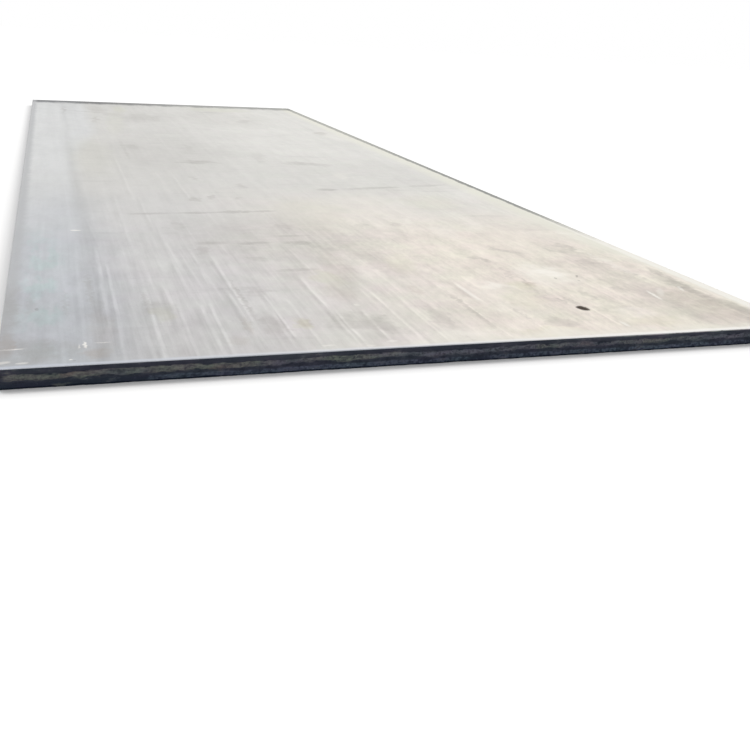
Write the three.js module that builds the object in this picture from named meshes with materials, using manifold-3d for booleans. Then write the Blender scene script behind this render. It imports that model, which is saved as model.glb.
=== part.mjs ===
// Hot-rolled steel plate, trimmed square on all four sides with guillotine shears.
//
// Units are millimetres and +Z is up. The plate lies flat, with its length along Y
// and its width along X. The origin is the middle of the underside.
//
// A shear blade leaves the same five things on every edge, from the top face down:
//   rollover  the top arris, dragged down into a soft bend before the steel gives way
//   land      a smooth upright band, cut by the blade
//   tear line a ledge that wanders up and down, where cutting turned to tearing
//   torn face the rest of the thickness, leaning back by the gap between the blades
//   burr      a small toe along the foot

import * as THREE from 'three';
import { mergeVertices } from 'three/addons/utils/BufferGeometryUtils.js';
import Module from 'manifold-3d';

const wasm = await Module();
wasm.setup();

// Stock size
const plateLength = 6000;
const plateWidth = 2000;
const plateThickness = 45;

// Rollover
const rolloverReach = 5; // how far in from the edge the top face starts to bend
const rolloverDrop = 1.8; // how far the bend carries the arris down
const rolloverFacets = 8; // flats in the bend

// Land and tear line
const landHeight = 10; // mean height of the smooth band
const tearStep = 0.8; // depth of the ledge under it
const slowWaveHeight = 1.6; // rise of the long waves in the tear line
const slowWavePitch = 470; // length of one long wave
const quickWaveHeight = 0.8; // rise of the short waves laid over them
const quickWavePitch = 160; // length of one short wave
const tearPointSpacing = 20; // distance between points along the tear line

// Torn face and burr
const bladeGap = 3; // how far the foot of the torn face stands back
const burrHeight = 1.4; // height of the toe
const burrReach = 1; // how far the toe stands out from the torn face

// Cutting tools run past the steel by this much, so that every cut goes right through
const overrun = 10;

// Vertices nearer than this are one and the same
const weldDistance = 1e-4;

const rolledSteel = new THREE.MeshStandardMaterial({
  name: 'rolled_steel',
  color: 0xc9c7c1,
  roughness: 0.45,
  metalness: 0.6,
});

// Heights of the lines that divide an edge, counted from the underside
const landTop = plateThickness - rolloverDrop;
const landFoot = landTop - landHeight;

// Closed geometry to manifold solid
function toSolid(geometry) {
  geometry.deleteAttribute('normal');
  geometry.deleteAttribute('uv');
  const welded = mergeVertices(geometry, weldDistance);
  const mesh = new wasm.Mesh({
    numProp: 3,
    vertProperties: new Float32Array(welded.attributes.position.array),
    triVerts: new Uint32Array(welded.index.array),
  });
  return new wasm.Manifold(mesh);
}

// Manifold solid to flat-shaded geometry
function toGeometry(solid) {
  const mesh = solid.getMesh();
  const geometry = new THREE.BufferGeometry();
  geometry.setAttribute('position', new THREE.BufferAttribute(mesh.vertProperties, 3));
  geometry.setIndex(new THREE.BufferAttribute(mesh.triVerts, 1));
  const faceted = geometry.toNonIndexed();
  faceted.computeVertexNormals();
  return faceted;
}

// A shape stood upright and drawn out along Y, evenly to both sides of the origin:
// the shape's own x stays along X and its y becomes the height
function drawAlongY(shape, run) {
  const geometry = new THREE.ExtrudeGeometry(shape, {
    depth: run,
    bevelEnabled: false,
    curveSegments: rolloverFacets,
  });
  geometry.rotateX(Math.PI / 2);
  geometry.translate(0, run / 2, 0);
  return geometry;
}

// Section through the untorn plate: flat underside, upright sides, top arrises bent down
function blankSection(span) {
  const side = span / 2;
  const bendCentre = side - rolloverReach;
  const section = new THREE.Shape();
  section.moveTo(-side, 0);
  section.lineTo(side, 0);
  section.lineTo(side, landTop);
  section.absellipse(bendCentre, landTop, rolloverReach, rolloverDrop, 0, Math.PI / 2, false);
  section.lineTo(-bendCentre, plateThickness);
  section.absellipse(-bendCentre, landTop, rolloverReach, rolloverDrop, Math.PI / 2, Math.PI, false);
  section.closePath();
  return section;
}

// Lengthwise and crosswise sections meet in a plate with all four top arrises bent
function makeBlank() {
  const lengthwise = toSolid(drawAlongY(blankSection(plateWidth), plateLength));
  const crosswise = toSolid(drawAlongY(blankSection(plateLength), plateWidth).rotateZ(Math.PI / 2));
  return lengthwise.intersect(crosswise);
}

// Height of the tear line at a distance along an edge: two waves laid over each other
function tearLineHeight(along, phase) {
  const slowWave = slowWaveHeight * Math.sin((2 * Math.PI * along) / slowWavePitch + phase);
  const quickWave = quickWaveHeight * Math.sin((2 * Math.PI * along) / quickWavePitch - phase);
  return landFoot + slowWave + quickWave;
}

// End view of what tears away from an edge: x is 0 on the land and grows outwards
function tornSection() {
  const section = new THREE.Shape();
  section.moveTo(-tearStep, landTop);
  section.lineTo(-bladeGap, burrHeight);
  section.lineTo(burrReach - bladeGap, 0);
  section.lineTo(burrReach - bladeGap, -overrun);
  section.lineTo(overrun, -overrun);
  section.lineTo(overrun, landTop);
  section.closePath();
  return section;
}

// Front view of what tears away: everything below the wandering tear line
function tornFront(run, phase) {
  const reach = run / 2 + overrun;
  const steps = Math.ceil((2 * reach) / tearPointSpacing);
  const front = new THREE.Shape();
  front.moveTo(-reach, -overrun);
  front.lineTo(reach, -overrun);
  for (let step = 0; step <= steps; step += 1) {
    const along = reach - (2 * reach * step) / steps;
    front.lineTo(along, tearLineHeight(along, phase));
  }
  front.closePath();
  return front;
}

// What tears away from one edge: its end view and its front view, cut into each other.
// It lies along Y, with the land in the plane x = 0
function makeTornStrip(run, phase) {
  const endView = toSolid(drawAlongY(tornSection(), run + 2 * overrun));
  const frontThickness = 2 * (bladeGap + overrun);
  const frontView = drawAlongY(tornFront(run, phase), frontThickness).rotateZ(Math.PI / 2);
  return endView.intersect(toSolid(frontView));
}

// The four edges: the run of each, how far its land is from the origin, the direction
// in which it faces, and where its tear line starts in the wave
const edges = [
  { run: plateLength, distance: plateWidth / 2, facing: 0, phase: 0.4 },
  { run: plateWidth, distance: plateLength / 2, facing: 90, phase: 1.9 },
  { run: plateLength, distance: plateWidth / 2, facing: 180, phase: 3.1 },
  { run: plateWidth, distance: plateLength / 2, facing: 270, phase: 4.6 },
];

function makePlate() {
  let plate = makeBlank();
  for (const edge of edges) {
    const strip = makeTornStrip(edge.run, edge.phase).translate([edge.distance, 0, 0]);
    plate = plate.subtract(strip.rotate([0, 0, edge.facing]));
  }
  return plate;
}

const steelPlate = new THREE.Mesh(toGeometry(makePlate()), rolledSteel);
steelPlate.name = 'steel_plate';

const model = new THREE.Group();
model.name = 'rolled_plate';
model.add(steelPlate);

export default model;
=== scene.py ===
# %% [markdown]
# # A sheared plate of hot-rolled steel
# A rolled plate is a very plain body: six metres long, two wide and 45 mm thick.
# What makes it look real is its skin. The two faces carry mill scale, the thin oxide that grows
# on hot steel, and the four edges show how the shears cut them. This lesson takes the solid plate
# from the frame, remakes its surface finely enough to carry that detail, and then lays on the
# finishes, the light and the camera.

# %% Load the frame
import math

import bpy
import numpy as np
from mathutils import Matrix, Vector


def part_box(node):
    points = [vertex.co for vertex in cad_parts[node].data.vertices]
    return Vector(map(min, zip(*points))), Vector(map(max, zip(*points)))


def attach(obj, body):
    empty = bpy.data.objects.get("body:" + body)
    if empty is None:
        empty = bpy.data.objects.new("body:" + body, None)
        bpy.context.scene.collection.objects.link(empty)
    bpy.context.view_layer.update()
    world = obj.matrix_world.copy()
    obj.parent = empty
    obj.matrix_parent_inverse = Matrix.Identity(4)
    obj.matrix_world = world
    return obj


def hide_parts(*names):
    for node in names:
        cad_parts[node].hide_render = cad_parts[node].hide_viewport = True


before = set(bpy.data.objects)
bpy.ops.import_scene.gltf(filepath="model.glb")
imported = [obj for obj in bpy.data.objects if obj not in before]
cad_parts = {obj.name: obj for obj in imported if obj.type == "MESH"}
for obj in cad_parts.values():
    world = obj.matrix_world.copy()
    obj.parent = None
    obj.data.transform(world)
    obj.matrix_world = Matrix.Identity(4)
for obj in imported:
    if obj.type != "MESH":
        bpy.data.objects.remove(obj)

scene = bpy.context.scene
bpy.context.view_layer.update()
plate_low, plate_high = (np.array(corner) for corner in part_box("steel_plate"))
width, length, thickness = plate_high - plate_low
mm = 0.001  # a millimetre, in the scene's metres
print(f"plate {length:.3f} x {width:.3f} m, {thickness / mm:.1f} mm thick")

# %% [markdown]
# ## Walking round the rim
# Everything on the edges of the plate depends on how far round the rim we are, so the rim gets one
# number: the walk, in metres, anticlockwise from the near left corner. It could be four separate
# sides, but then every corner would need a seam. One closed walk has none, as long as every wave
# laid along it fits a whole number of times.

# %% Columns round the rim
column_pitch = 5 * mm
columns_across = round(width / column_pitch)
columns_along = round(length / column_pitch)
columns = 2 * (columns_across + columns_along)
rim_walk = 2 * (width + length)


def unit_rim(across, along):
    """Rim points of a square from -1 to 1, in the order of the walk: `across` equal steps on the
    near and far sides and `along` equal steps on the other two."""
    there = np.arange(across) / across * 2 - 1
    up = np.arange(along) / along * 2 - 1
    x = np.concatenate([there, np.ones(along), -there, -np.ones(along)])
    y = np.concatenate([-np.ones(across), up, np.ones(across), -up])
    return x, y


def rim_points(inset, height, across, along):
    """Points that stand `inset` inside the plate's outline: half the plate less the inset, times
    the unit position. Inset and height are one number, or one for each column."""
    x, y = unit_rim(across, along)
    return np.stack([x * (width / 2 - inset), y * (length / 2 - inset), height + 0 * x], axis=-1)


shares_across, shares_along = (np.arange(count) / count for count in (columns_across, columns_along))
sides = (
    ("near", width, shares_across), ("right", length, shares_along),
    ("far", width, shares_across), ("left", length, shares_along),
)
side_start = dict(zip([side[0] for side in sides], np.cumsum([0, width, length, width])))
walk = np.concatenate([side_start[name] + run * share for name, run, share in sides])
print(f"{columns} columns round a rim of {rim_walk:.1f} m")

# %% [markdown]
# ## Roughness that closes on itself
# Broken steel is rough at every size, from slow swells down to grains. Random numbers at each
# point would look like sand, and a stored noise would leave a seam where the walk ends. So the
# roughness is a sum of cosine waves. Each wave turns a whole number of times round the rim, and
# the seed makes every run the same.

# %% Waves for rough surfaces
chance = np.random.default_rng(40)


def random_waves(longest, shortest, waves):
    """Whole numbers of turns round the rim, spread evenly over the octaves between two wave
    lengths, with a random start for each wave and a share that is smaller for shorter waves."""
    fewest, most = np.log(rim_walk / longest), np.log(rim_walk / shortest)
    turns = np.exp(chance.uniform(fewest, most, waves)).round()
    starts = chance.uniform(0, 2 * math.pi, waves)
    shares = (turns / turns.min()) ** -0.35
    return turns, starts, shares / math.sqrt(0.5 * (shares ** 2).sum())


def rim_roughness(longest, shortest, waves):
    """The sum over the waves of share times cosine of turns times walk plus start. Its spread
    is 1."""
    turns, starts, shares = random_waves(longest, shortest, waves)
    return shares @ np.cos(2 * math.pi / rim_walk * np.outer(turns, walk) + starts[:, None])


# %% [markdown]
# ## The sheared edge
# The blade first drags the top arris down, then cuts a smooth land, and then the rest of the
# thickness tears. The tear line wanders, the torn face leans back and is coarse, the lower blade
# rubs a band near the foot smooth again, and a burr is left along the foot. Each of these is one
# or more rows of a profile. The rows are carried round the rim together, and only their inset and
# their height change with the walk.

# %% Sizes of the sheared edge
rollover_reach = 5 * mm
rollover_drop = 1.8 * mm
land_height = 10 * mm
tear_step = 0.8 * mm
tear_ledge = 0.9 * mm
blade_gap = 3 * mm
burr_height = 1.4 * mm
burr_reach = 1 * mm
land_top = thickness - rollover_drop
land_foot = land_top - land_height

# %% Tear line
slow_wave_height, slow_wave_pitch = 1.6 * mm, 0.470
quick_wave_height, quick_wave_pitch = 0.8 * mm, 0.160
wave_starts = {"near": 4.6, "right": 0.4, "far": 1.9, "left": 3.1}
tear_rag = 0.6 * mm


def tear_line():
    """Height of the tear line: on each side a slow and a quick sine wave of the distance from the
    side's middle, plus a fine raggedness."""
    waves = []
    for name, run, share in sides:
        distance = (share - 0.5) * run
        slow = slow_wave_height * np.sin(2 * math.pi * distance / slow_wave_pitch + wave_starts[name])
        quick = quick_wave_height * np.sin(2 * math.pi * distance / quick_wave_pitch - wave_starts[name])
        waves.append(slow + quick)
    ragged = tear_rag * rim_roughness(0.120, 0.012, 60)
    return land_foot + np.concatenate(waves) + ragged


tear_height = tear_line()
print(f"tear line from {tear_height.min() / mm:.1f} to {tear_height.max() / mm:.1f} mm")

# %% Profile rows, from the top face down
rollover_rows, land_rows, torn_rows = 5, 3, 10
rubbed_middle, rubbed_reach = 3.75, 0.16  # of the rubbed band, in stages of the cut
rubbed_calm = 0.8  # the share of the roughness that rubbing takes away
torn_wave_tilt = 1.3  # how far the torn face's ridges lean from upright
drag_depth = 0.06 * mm  # how far the foot of the land is drawn in
least_inset = 0.1 * mm  # of the torn face
toe_share = 0.45  # height of the toe's outer corner, as a share of the burr's
toe_undercut = 0.2 * mm


def torn_roughness(heights, depth=0.5 * mm, longest=0.10, shortest=0.011, waves=90):
    """How far the torn face stands back from its lean at each row and column: the same cosine
    waves for all rows, so that ridges run from row to row."""
    turns, starts, shares = random_waves(longest, shortest, waves)
    tilts = chance.normal(0, torn_wave_tilt, waves) * turns
    total = np.zeros_like(heights)
    for turn, tilt, start, share in zip(turns, tilts, starts, shares):
        total += share * np.cos(2 * math.pi / rim_walk * (turn * walk + tilt * heights) + start)
    return depth * total


def edge_rows():
    """Rows of (inset, height, stage). The rollover is a quarter ellipse, the land is upright, the
    torn face is a straight lean plus roughness that calms in the rubbed band, and the burr is a
    ragged toe. The stage counts the steps of the cut: 0 where the rollover starts, 1 and 2 at
    the top and the foot of the land, 3 and 4 at the top and the foot of the torn face, 5 at the
    underside."""
    level = np.zeros(columns)
    made = []
    reach = rollover_reach * (1 + 0.12 * rim_roughness(0.8, 0.05, 30).clip(-1.5, 1.5))
    for turn in np.linspace(0, math.pi / 2, rollover_rows):
        inset = reach * (1 - math.sin(turn))
        made.append((inset, level + land_top + rollover_drop * math.cos(turn), turn / (math.pi / 2)))
    drag = drag_depth * (1 + rim_roughness(0.05, 0.011, 40)).clip(0, 2)
    for step in np.arange(1, land_rows + 1) / land_rows:
        made.append((drag * step, land_top + (tear_height - land_top) * step, 1 + step))
    foot = burr_height * (1 + 0.35 * rim_roughness(0.3, 0.012, 40)).clip(0.3, 2.2)
    for step in np.arange(torn_rows + 1) / torn_rows:
        height = (tear_height - tear_ledge) * (1 - step) + foot * step
        lean = tear_step + (blade_gap - tear_step) * step
        made.append((lean, height, 3 + step))
    rough_from = rollover_rows + land_rows
    heights = np.stack([height for _, height, _ in made[rough_from:]])
    for row, coarse in enumerate(torn_roughness(heights), rough_from):
        inset, height, stage = made[row]
        rubbed = math.exp(-((stage - rubbed_middle) / rubbed_reach) ** 2)
        inset = inset + coarse * (1 - rubbed_calm * rubbed)
        made[row] = (inset.clip(least_inset, None), height, stage)
    toe = burr_reach * (1 + 0.5 * rim_roughness(0.2, 0.012, 40)).clip(0.1, 1.9)
    made.append((blade_gap - toe, foot * toe_share, 4.5))
    made.append((blade_gap - toe + toe_undercut, level, 5))
    return made


rows = edge_rows()
deepest = max(inset.max() for inset, _, _ in rows[rollover_rows:])
print(f"{len(rows)} rows; the torn face stands back up to {deepest / mm:.1f} mm")

# %% [markdown]
# ## From the fine rim to the calm middle
# The rim needs a column every few millimetres, but the middle of the plate is nearly flat. Carrying
# the fine columns right across would take millions of faces. So three rings inside the rim each
# have half as many columns as the ring before, and a plain grid fills what is left.

# %% Faces between rings of points
def join_rings(upper, lower):
    """Faces between two closed rings of point numbers, the upper one first. Equal rings give one
    quad a column. Where one ring has twice as many points, three triangles join each pair of
    its steps to one step of the other."""
    if len(upper) == len(lower):
        return [np.stack([upper, lower, np.roll(lower, -1), np.roll(upper, -1)], axis=-1)]
    fine, coarse = (upper, lower) if len(upper) > len(lower) else (lower, upper)
    start, middle, end = fine[0::2], fine[1::2], np.roll(fine[0::2], -1)
    near, far = coarse, np.roll(coarse, -1)
    fan = [(start, near, middle), (middle, near, far), (middle, far, end)]
    if len(lower) > len(upper):
        fan = [corners[::-1] for corners in fan]
    return [np.stack(corners, axis=-1) for corners in fan]


def grid_rim(across, along):
    """Numbers of a grid's rim points in the order of the walk. The grid has across + 1 points in
    a row, and its rows follow each other from the near one."""
    row = across + 1
    near, right = np.arange(across), across + row * np.arange(along)
    far, left = row * along + across - np.arange(across), row * (along - np.arange(along))
    return np.concatenate([near, right, far, left])


def grid_cells(across, along):
    """Quads of such a grid, facing up."""
    column, row = np.meshgrid(np.arange(across), np.arange(along))
    corner = (row * (across + 1) + column).ravel()
    return np.stack([corner, corner + 1, corner + across + 2, corner + across + 1], axis=-1)


# %% [markdown]
# ## A face that is nearly flat
# The rolls leave long, low waves in a plate. They are far too low to see as a shape, but light
# that glances off the face shows them. The waves only ever go down from the plate's full
# thickness, so that the plate keeps its size, and they fade out at the straight rim.

# %% Waves of the top face
face_wave_depth = 0.45 * mm
face_wave_fade = 0.25  # how far in from the rim the waves reach their full depth
face_waves = (  # pitch across, pitch along, start, share
    (1.9, 2.7, 0.3, 1.0), (0.9, 1.6, 2.0, 0.55), (3.1, 0.8, 4.0, 0.35),
    (0.55, 2.2, 1.1, 0.3), (0.7, 0.6, 5.2, 0.15),
)


def face_depth(x, y):
    """How far the top face lies under the full thickness: a sum of long cosine waves, scaled to run
    from 0 to twice the wave depth, times a smooth rise from 0 at the rim to 1 a little way in."""
    swell = sum(share * np.cos(2 * math.pi * (x / across + y / along) + start)
                for across, along, start, share in face_waves)
    from_rim = np.minimum(width / 2 - np.abs(x), length / 2 - np.abs(y))
    way_in = np.clip(from_rim / face_wave_fade, 0, 1)
    top_of_swell = sum(share for *_, share in face_waves)
    return face_wave_depth * (1 + swell / top_of_swell) * way_in * way_in * (3 - 2 * way_in)


# %% Put the surface together
ring_insets = (12 * mm, 26 * mm, 55 * mm)
scale_finish, edge_finish = 0, 1  # the plate's two materials, in their order


class Surface:
    """Points, each with the stage of the cut, and faces, each with its finish and its corners'
    places on the flat map."""

    def __init__(self):
        self.points, self.stages, self.count = [], [], 0
        self.faces, self.finishes, self.places = [], [], []

    def add_points(self, points, stage):
        numbers = self.count + np.arange(len(points))
        self.points.append(points)
        self.stages.append(np.full(len(points), stage))
        self.count += len(points)
        return numbers

    def add_faces(self, faces, finish, unfold):
        """`unfold` gives the corners' places on the map from the corners' numbers."""
        self.faces.append(faces)
        self.finishes.append(np.full(len(faces), finish))
        self.places.append(unfold(faces))


# %% Unfold the surface onto a flat map
top_strip, under_strip = (0.0, 0.66), (0.67, 0.87)
edge_strips = {
    "near": (0.875, 0.902), "right": (0.906, 0.933), "far": (0.937, 0.964), "left": (0.968, 0.995),
}


def unfold_face(surface, strip):
    """Places of a face's corners: across the plate becomes across the strip, and the plate's whole
    length becomes the map's height."""
    def unfold(faces):
        spot = np.concatenate(surface.points)[faces]
        across = strip[0] + (strip[1] - strip[0]) * (spot[..., 0] / width + 0.5)
        return np.stack([across, spot[..., 1] / length + 0.5], axis=-1)
    return unfold


def unfold_edge(row, row_count):
    """Places of the corners of one strip of edge faces: each side of the plate has a strip of the
    map, the rows lie across it, and the side's run becomes the map's height."""
    def unfold(faces):
        across, up = [], []
        for name, _, share in sides:
            low, high = edge_strips[name]
            rows_here = low + (high - low) * np.array([row, row + 1, row + 1, row]) / row_count
            across.append(np.tile(rows_here, (len(share), 1)))
            after = share + 1 / len(share)
            up.append(np.stack([share, share, after, after], axis=-1))
        return np.stack([np.concatenate(across), np.concatenate(up)], axis=-1)
    return unfold


# %% Close the top and the underside
def close_face(surface, rim, level, depth, upwards):
    """Closes the top or the underside from the rim inwards: halving rings, then a grid. `depth`
    lowers each point below `level`."""
    unfold = unfold_face(surface, top_strip if upwards else under_strip)
    across, along = columns_across, columns_along
    for inset in ring_insets:
        across, along = across // 2, along // 2
        if inset == ring_insets[-1]:
            x, y = np.meshgrid(
                np.linspace(-1, 1, across + 1) * (width / 2 - inset),
                np.linspace(-1, 1, along + 1) * (length / 2 - inset),
            )
            points = np.stack([x.ravel(), y.ravel(), np.full(x.size, level)], axis=-1)
        else:
            points = rim_points(inset, level, across, along)
        points[:, 2] -= depth(points[:, 0], points[:, 1])
        numbers = surface.add_points(points, 0.0 if upwards else 5.0)
        ring = numbers[grid_rim(across, along)] if inset == ring_insets[-1] else numbers
        for faces in join_rings(ring, rim) if upwards else join_rings(rim, ring):
            surface.add_faces(faces, scale_finish, unfold)
        rim = ring
    cells = numbers[0] + grid_cells(across, along)
    surface.add_faces(cells if upwards else cells[:, ::-1], scale_finish, unfold)


def plate_surface():
    """The whole closed surface: the rows down the rim, the top face and the underside."""
    surface = Surface()
    rings = [
        surface.add_points(rim_points(inset, height, columns_across, columns_along), stage)
        for inset, height, stage in rows
    ]
    for row, (upper, lower) in enumerate(zip(rings, rings[1:])):
        finish = scale_finish if row < rollover_rows - 1 else edge_finish
        for faces in join_rings(upper, lower):
            surface.add_faces(faces, finish, unfold_edge(row, len(rings) - 1))
    close_face(surface, rings[0], thickness, face_depth, upwards=True)
    close_face(surface, rings[-1], 0.0, lambda x, y: 0 * x, upwards=False)
    return surface


surface = plate_surface()
triangles = sum(len(faces) * (faces.shape[1] - 2) for faces in surface.faces)
print(f"{surface.count} points, {triangles} triangles")

# %% [markdown]
# ## From arrays to a mesh
# Blender takes whole arrays of points, corners and faces in one go, which is far quicker than
# adding them one at a time. The stage of the cut goes with the points as an attribute, so that the
# finishes can follow the edge however much the tear line wanders.

# %% Make the mesh
def make_mesh(name, surface):
    """A smooth mesh of the surface's points and faces, with its finishes, its stages as an
    attribute and its flat map."""
    points = np.concatenate(surface.points).astype(np.float32)
    corners = np.concatenate([faces.ravel() for faces in surface.faces]).astype(np.int32)
    sizes = np.concatenate([np.full(len(faces), faces.shape[1]) for faces in surface.faces])
    starts = np.concatenate([[0], np.cumsum(sizes)[:-1]]).astype(np.int32)
    mesh = bpy.data.meshes.new(name)
    mesh.vertices.add(len(points))
    mesh.vertices.foreach_set("co", points.ravel())
    mesh.loops.add(len(corners))
    mesh.loops.foreach_set("vertex_index", corners)
    mesh.polygons.add(len(sizes))
    mesh.polygons.foreach_set("loop_start", starts)
    mesh.polygons.foreach_set("material_index", np.concatenate(surface.finishes).astype(np.int32))
    mesh.update(calc_edges=True)
    flat_map = mesh.uv_layers.new(name="OFBake")
    places = np.concatenate([places.reshape(-1, 2) for places in surface.places])
    flat_map.uv.foreach_set("vector", places.ravel().astype(np.float32))
    stage = mesh.attributes.new("cut_stage", "FLOAT", "POINT")
    stage.data.foreach_set("value", np.concatenate(surface.stages).astype(np.float32))
    mesh.shade_smooth()
    mesh.validate()
    return mesh


plate = bpy.data.objects.new("rolled_plate", make_mesh("rolled_plate", surface))
scene.collection.objects.link(plate)
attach(plate, "root")
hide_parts("steel_plate")
print(f"{plate.name}: {len(plate.data.polygons)} faces")

# %% [markdown]
# ## Nodes that read like sums
# A finish in Blender is a web of nodes, and written out one link at a time it is hard to follow.
# Here each node's output is wrapped so that plain arithmetic adds the Math nodes, and a new node
# goes into the tree that its first wire comes from. A recipe then reads like a formula, from the
# pattern to the shader.

# %% A wrapper for node outputs
def math_method(operation):
    """A method that puts a wire, and what it meets, through a Math node."""
    return lambda wire, *others: calculate(operation, wire, *others)


class Wire:
    """What a node puts out. Arithmetic on it adds a Math node and gives a new wire."""

    def __init__(self, socket):
        self.socket = socket

    def __rsub__(self, other):
        return calculate("SUBTRACT", other, self)

    __add__ = __radd__ = math_method("ADD")
    __sub__ = math_method("SUBTRACT")
    __mul__ = __rmul__ = math_method("MULTIPLY")
    __truediv__ = math_method("DIVIDE")
    __abs__ = math_method("ABSOLUTE")


def feed(socket, value):
    """Gives an input its value: a wire, a colour of three levels, or a number or vector."""
    if isinstance(value, Wire):
        socket.id_data.links.new(value.socket, socket)
    elif socket.type == "RGBA":
        socket.default_value = (*value, 1)
    else:
        socket.default_value = value


def add_node(kind, inputs, **settings):
    """A new node, with its settings and its inputs, in the tree of its first wire."""
    tree = next(value.socket.id_data for value in inputs.values() if isinstance(value, Wire))
    made = tree.nodes.new(kind)
    for name, value in settings.items():
        setattr(made, name, value)
    for name, value in inputs.items():
        feed(made.inputs[name], value)
    return made


# %% Short words for nodes
def calculate(operation, *values):
    """A Math node."""
    inputs = dict(enumerate(values))
    return Wire(add_node("ShaderNodeMath", inputs, operation=operation).outputs[0])


def split(vector):
    """The three parts of a vector."""
    made = add_node("ShaderNodeSeparateXYZ", {"Vector": vector})
    return tuple(Wire(output) for output in made.outputs)


def join(x, y, z):
    """A vector of three parts."""
    return Wire(add_node("ShaderNodeCombineXYZ", {"X": x, "Y": y, "Z": z}).outputs[0])


def rise(value, low, high):
    """A smooth step: 0 up to `low`, 1 from `high` on. It falls where low is above high."""
    inputs = {"Value": value, "From Min": low, "From Max": high}
    made = add_node("ShaderNodeMapRange", inputs, interpolation_type="SMOOTHSTEP", clamp=False)
    return Wire(made.outputs["Result"])


def noise(vector, detail, roughness):
    """Fractal noise from 0 to 1, with patches about 1 wide."""
    inputs = {"Vector": vector, "Scale": 1.0, "Detail": detail, "Roughness": roughness}
    return Wire(add_node("ShaderNodeTexNoise", inputs).outputs["Fac"])


def dice(seed):
    """Three random numbers from 0 to 1 for each value of `seed`."""
    made = add_node("ShaderNodeTexWhiteNoise", {"W": seed}, noise_dimensions="1D")
    parts = add_node("ShaderNodeSeparateColor", {"Color": Wire(made.outputs["Color"])})
    return tuple(Wire(output) for output in parts.outputs)


def grey(level):
    """A grey of that level, as a colour."""
    return Wire(add_node("ShaderNodeCombineColor", dict.fromkeys(range(3), level)).outputs[0])


def mix(share, first, second, blend="MIX"):
    """From the first colour to the second by `share`."""
    inputs = {0: share, 6: first, 7: second}  # 6 and 7 are the node's two colours
    return Wire(add_node("ShaderNodeMix", inputs, data_type="RGBA", blend_type=blend).outputs[2])


def tinted(colour, tint):
    """The colour times the tint."""
    return mix(1.0, colour, tint, "MULTIPLY")


def bump(height, depth, **under):
    """Bumps `depth` high, alone or laid over the relief given as `Normal`."""
    inputs = {"Height": height, "Distance": depth, "Strength": 1.0, **under}
    return Wire(add_node("ShaderNodeBump", inputs).outputs["Normal"])


# %% A formula as one node
def make_group(name, inputs, formula):
    """A node group with a number socket for each of the `inputs` and the one result of `formula`,
    which is given a wire for each input."""
    tree = bpy.data.node_groups.new(name, "ShaderNodeTree")
    for socket in inputs:
        tree.interface.new_socket(name=socket, in_out="INPUT", socket_type="NodeSocketFloat")
    tree.interface.new_socket(name="result", in_out="OUTPUT", socket_type="NodeSocketFloat")
    entrance, way_out = tree.nodes.new("NodeGroupInput"), tree.nodes.new("NodeGroupOutput")
    result = formula(*(Wire(entrance.outputs[socket]) for socket in inputs))
    feed(way_out.inputs["result"], result)
    return tree


def stamp(group, **inputs):
    """One use of a node group: its single result."""
    return Wire(add_node("ShaderNodeGroup", inputs, node_tree=group).outputs[0])


# %% A material
class Finish:
    """A material, its shader and the place in the plate's own frame."""

    def __init__(self, name):
        self.material = bpy.data.materials.new(name)
        self.material.use_nodes = True
        self.nodes = self.material.node_tree.nodes
        self.place = Wire(self.nodes.new("ShaderNodeTexCoord").outputs["Object"])
        self.x, self.y, self.z = split(self.place)

    def attribute(self, name):
        made = self.nodes.new("ShaderNodeAttribute")
        made.attribute_name = name
        return Wire(made.outputs["Fac"])

    def stretched(self, wide, long, key, turn):
        """The place across and along the plate, in shares of `wide` and `long`, on the slice `key`
        of a pattern. The pattern leans to the right by `turn` degrees."""
        inputs = {
            "Vector": self.place,
            "Scale": (wide, long, 1),
            "Location": (0, 0, -key),
            "Rotation": (0, 0, math.radians(-turn)),
        }
        return Wire(add_node("ShaderNodeMapping", inputs, vector_type="TEXTURE").outputs[0])

    def shade(self, inputs):
        """Feeds the shader."""
        for name, value in inputs.items():
            feed(self.nodes["Principled BSDF"].inputs[name], value)


def srgb(*levels):
    """A colour picked on a screen, 0 to 255 a channel, as the light it stands for: each level
    above the dark toe is shifted, divided by 1.055 and raised to the power 2.4."""
    shares = np.array(levels) / 255
    light = np.where(shares > 0.04, ((shares + 0.055) / 1.055) ** 2.4, shares / 12.92)
    return tuple(light.tolist())


# %% [markdown]
# ## Mill scale
# Mill scale is a hard, thin oxide with a dull metallic lustre. It is never one colour. It keeps
# broad cool and warm fields from the way the plate cooled, long streaks from the rolls and the
# water, and fine bright lines where timbers and other plates have slid along it. The fields here
# also hold painted reflection, lighter and warmer to the right and cooler and darker to the left,
# and each fine line holds a painted glint with painted shade beside it. A picture could carry all
# that, but it would blur close up. Sums of stretched noise stay sharp at any distance, and a few
# soft ellipses put the marks that the eye remembers where they belong.

# %% Streaks and blotches
def streaks(finish, wide, long, key, detail=3.0, turn=0.0):
    """Stretched noise: patterns about `wide` across and `long` along the plate, from -1 to 1. Each
    `key` gives another pattern."""
    level = noise(finish.stretched(wide, long, key, turn), detail, roughness=0.6)
    return calculate("MULTIPLY_ADD", level, 2.0, -1.0)


def blotches(finish, size, key, detail=4.0):
    """Round noise with patches about `size` wide, from -1 to 1."""
    return streaks(finish, size, size, key, detail)


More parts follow.
